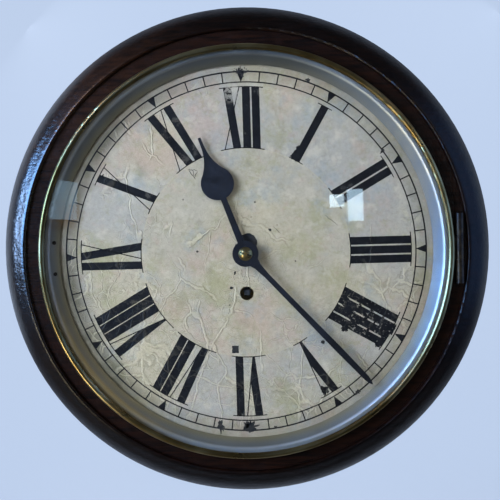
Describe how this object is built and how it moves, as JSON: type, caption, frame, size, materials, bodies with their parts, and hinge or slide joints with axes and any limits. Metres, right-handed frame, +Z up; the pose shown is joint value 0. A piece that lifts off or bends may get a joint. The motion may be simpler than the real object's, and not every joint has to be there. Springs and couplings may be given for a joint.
{
  "type": "fusee dial clock",
  "caption": "Round wooden wall clock with hinged brass bezel, painted dial, spade hands, a fusee movement with short pendulum, and a box with side and bottom doors.",
  "frame": {"origin": "centre of the hanging hole in the plane of the wall", "axes": "+Z up, the dial faces -Y, +Y points into the wall, +X to the right of someone who looks at the dial"},
  "size_m": [0.3799, 0.1434, 0.38],
  "materials": {
    "wood": "dark french-polished mahogany, worn",
    "box_wood": "dark stained mahogany, satin",
    "bezel_brass": "aged polished brass",
    "brass": "satin brass",
    "steel": "polished steel",
    "spring_steel": "blued spring steel",
    "silvered": "silvered brass, brushed round",
    "glass": "clear convex glass",
    "dial_paint": "aged cream-grey paint with fine cracks",
    "blued_steel": "dark blued steel",
    "gut": "gut line"
  },
  "bodies": {
    "case": {"dial_surround": "wood", "surround_brackets": "box_wood", "case_side_left": "box_wood", "case_side_right": "box_wood", "case_top": "box_wood", "case_bottom": "box_wood", "backboard": "box_wood", "case_pegs": "box_wood", "hanging_plate": "brass", "hanging_screws": "steel", "door_hinges": "brass", "dial_plate": "dial_paint", "dial_screws": "steel", "dial_feet": "brass", "taper_pins": "steel", "bezel_hinge_plate": "bezel_brass", "catch_keeper": "brass", "front_plate": "brass", "back_plate": "brass", "plate_pillars": "brass", "hour_bridge": "brass", "back_cock": "brass", "movement_screws": "steel", "fusee_line": "gut", "barrel_arbor": "steel", "mainspring": "spring_steel", "setup_click": "steel"},
    "bezel": {"bezel_ring": "bezel_brass", "sight_ring": "silvered", "bezel_glass": "glass", "bezel_hinge_leaf": "bezel_brass", "bezel_catch": "brass", "catch_screws": "steel"},
    "side_door": {"side_door": "box_wood", "side_door_knob": "brass", "side_door_leaves": "brass"},
    "bottom_door": {"bottom_door": "box_wood", "bottom_door_knob": "brass", "bottom_door_leaf": "brass"},
    "centre": {"centre_wheel": "brass", "cannon_pinion": "steel", "minute_hand": "blued_steel", "hand_collet": "brass", "hand_pin": "steel"},
    "motion_wheel": {"minute_wheel": "brass"},
    "hour": {"hour_wheel": "brass", "hour_hand": "blued_steel"},
    "third": {"third_wheel": "brass"},
    "escape": {"escape_wheel": "brass"},
    "great": {"great_wheel": "brass"},
    "fusee": {"fusee_cone": "brass", "fusee_arbor": "steel"},
    "barrel": {"barrel_drum": "brass", "barrel_cap": "brass"},
    "anchor": {"pallets": "steel", "crutch": "steel"},
    "pendulum": {"suspension_spring": "steel", "pendulum_rod": "steel", "pendulum_bob": "brass", "rating_nut": "brass"}
  },
  "joints": [
    {"name": "bezel_swing", "type": "hinge", "parent": "case", "child": "bezel", "pos_m": [0.1646, -0.1244, -0.115], "axis": [0, 0, 1], "range_deg": [0, 110]},
    {"name": "side_door_swing", "type": "hinge", "parent": "case", "child": "side_door", "pos_m": [0.1142, -0.0198, -0.107], "axis": [0, 0, 1], "range_deg": [0, 100]},
    {"name": "bottom_door_swing", "type": "hinge", "parent": "case", "child": "bottom_door", "pos_m": [0, -0.0198, -0.2972], "axis": [1, 0, 0], "range_deg": [0, 90]},
    {"name": "minute_hand_turn", "type": "hinge", "parent": "case", "child": "centre", "pos_m": [0, -0.09, -0.115], "axis": [0, 1, 0], "continuous": true},
    {"name": "motion_wheel_turn", "type": "hinge", "parent": "case", "child": "motion_wheel", "pos_m": [0.026, -0.102, -0.115], "axis": [0, 1, 0], "continuous": true},
    {"name": "hour_hand_turn", "type": "hinge", "parent": "case", "child": "hour", "pos_m": [0, -0.106, -0.115], "axis": [0, 1, 0], "continuous": true},
    {"name": "third_wheel_turn", "type": "hinge", "parent": "case", "child": "third", "pos_m": [0.01312, -0.067, -0.09372], "axis": [0, 1, 0], "continuous": true},
    {"name": "escape_wheel_turn", "type": "hinge", "parent": "case", "child": "escape", "pos_m": [0, -0.077, -0.077], "axis": [0, 1, 0], "continuous": true},
    {"name": "great_wheel_turn", "type": "hinge", "parent": "case", "child": "great", "pos_m": [0, -0.0595, -0.1465], "axis": [0, 1, 0], "continuous": true},
    {"name": "fusee_wind", "type": "hinge", "parent": "great", "child": "fusee", "pos_m": [0, -0.075, -0.1465], "axis": [0, 1, 0], "range_deg": [-2880, 2880], "deforming": ["fusee_line"]},
    {"name": "barrel_turn", "type": "hinge", "parent": "case", "child": "barrel", "pos_m": [-0.0585, -0.076, -0.151], "axis": [0, 1, 0], "range_deg": [-1600, 1600], "deforming": ["mainspring"]},
    {"name": "pendulum_swing", "type": "hinge", "parent": "case", "child": "pendulum", "pos_m": [0, -0.033, -0.0525], "axis": [0, 1, 0], "range_deg": [-3, 3], "deforming": ["suspension_spring"]},
    {"name": "crutch_swing", "type": "hinge", "parent": "case", "child": "anchor", "pos_m": [0, -0.06, -0.0525], "axis": [0, 1, 0], "range_deg": [-3, 3]}
  ],
  "couplings": [
    {"joint": "motion_wheel_turn", "follows": "minute_hand_turn", "ratio": -1},
    {"joint": "hour_hand_turn", "follows": "minute_hand_turn", "ratio": 0.083333},
    {"joint": "third_wheel_turn", "follows": "minute_hand_turn", "ratio": -12},
    {"joint": "escape_wheel_turn", "follows": "minute_hand_turn", "ratio": 133.71},
    {"joint": "great_wheel_turn", "follows": "minute_hand_turn", "ratio": -0.083333},
    {"joint": "barrel_turn", "follows": "fusee_wind", "ratio": 0.542},
    {"joint": "crutch_swing", "follows": "pendulum_swing", "ratio": 1}
  ]
}
